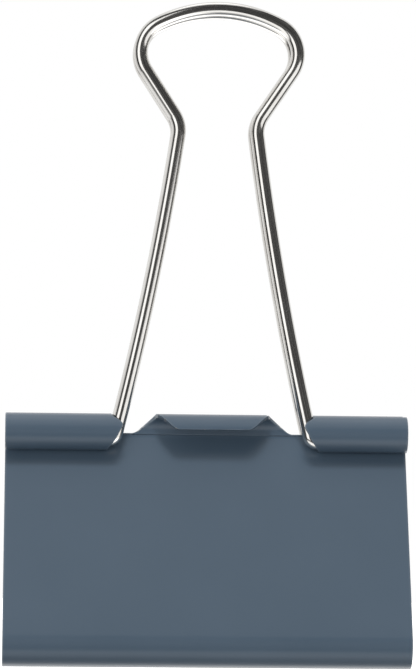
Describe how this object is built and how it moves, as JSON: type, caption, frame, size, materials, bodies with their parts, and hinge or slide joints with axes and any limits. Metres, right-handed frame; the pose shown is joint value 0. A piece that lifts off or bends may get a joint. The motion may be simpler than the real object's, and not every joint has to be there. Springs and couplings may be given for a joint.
{
  "type": "binder clip",
  "caption": "Large spring-steel binder clip: a triangular painted sheet whose jaws carry rolled barrels and curled tongues, with wire handles that fold.",
  "frame": {"origin": "centre of the spine's flat underside, which is the bottom centre of the bounding box", "axes": "+X along the clip's width, +Y from the front jaw to the back jaw, +Z from the spine up through the mouth and the handles"},
  "size_m": [0.051, 0.025, 0.0839],
  "materials": {
    "painted_sheet": "satin slate-blue paint on spring steel, thin at the sheared edges",
    "bright_wire": "bright nickel plate on drawn wire"
  },
  "bodies": {
    "spine": {"spine": "painted_sheet"},
    "front_jaw": {"front_jaw": "painted_sheet"},
    "back_jaw": {"back_jaw": "painted_sheet"},
    "front_handle": {"front_handle": "bright_wire"},
    "back_handle": {"back_handle": "bright_wire"}
  },
  "joints": [
    {"name": "front_jaw_flex", "type": "hinge", "parent": "spine", "child": "front_jaw", "pos_m": [0, -0.01204, 0.0014], "axis": [1, 0, 0], "range_deg": [0, 25], "stiffness_Nm_per_rad": 2, "springref_deg": -16.04},
    {"name": "back_jaw_flex", "type": "hinge", "parent": "spine", "child": "back_jaw", "pos_m": [0, 0.01204, 0.0014], "axis": [-1, 0, 0], "range_deg": [0, 25], "stiffness_Nm_per_rad": 2, "springref_deg": -16.04},
    {"name": "front_handle_swing", "type": "hinge", "parent": "front_jaw", "child": "front_handle", "pos_m": [0.00085, -0.00235, 0.02825], "axis": [1, 0, 0], "range_deg": [0, 154.6]},
    {"name": "back_handle_swing", "type": "hinge", "parent": "back_jaw", "child": "back_handle", "pos_m": [0.00085, 0.00235, 0.02825], "axis": [-1, 0, 0], "range_deg": [0, 154.6]}
  ],
  "couplings": [
    {"joint": "back_jaw_flex", "follows": "front_jaw_flex", "ratio": 1}
  ]
}
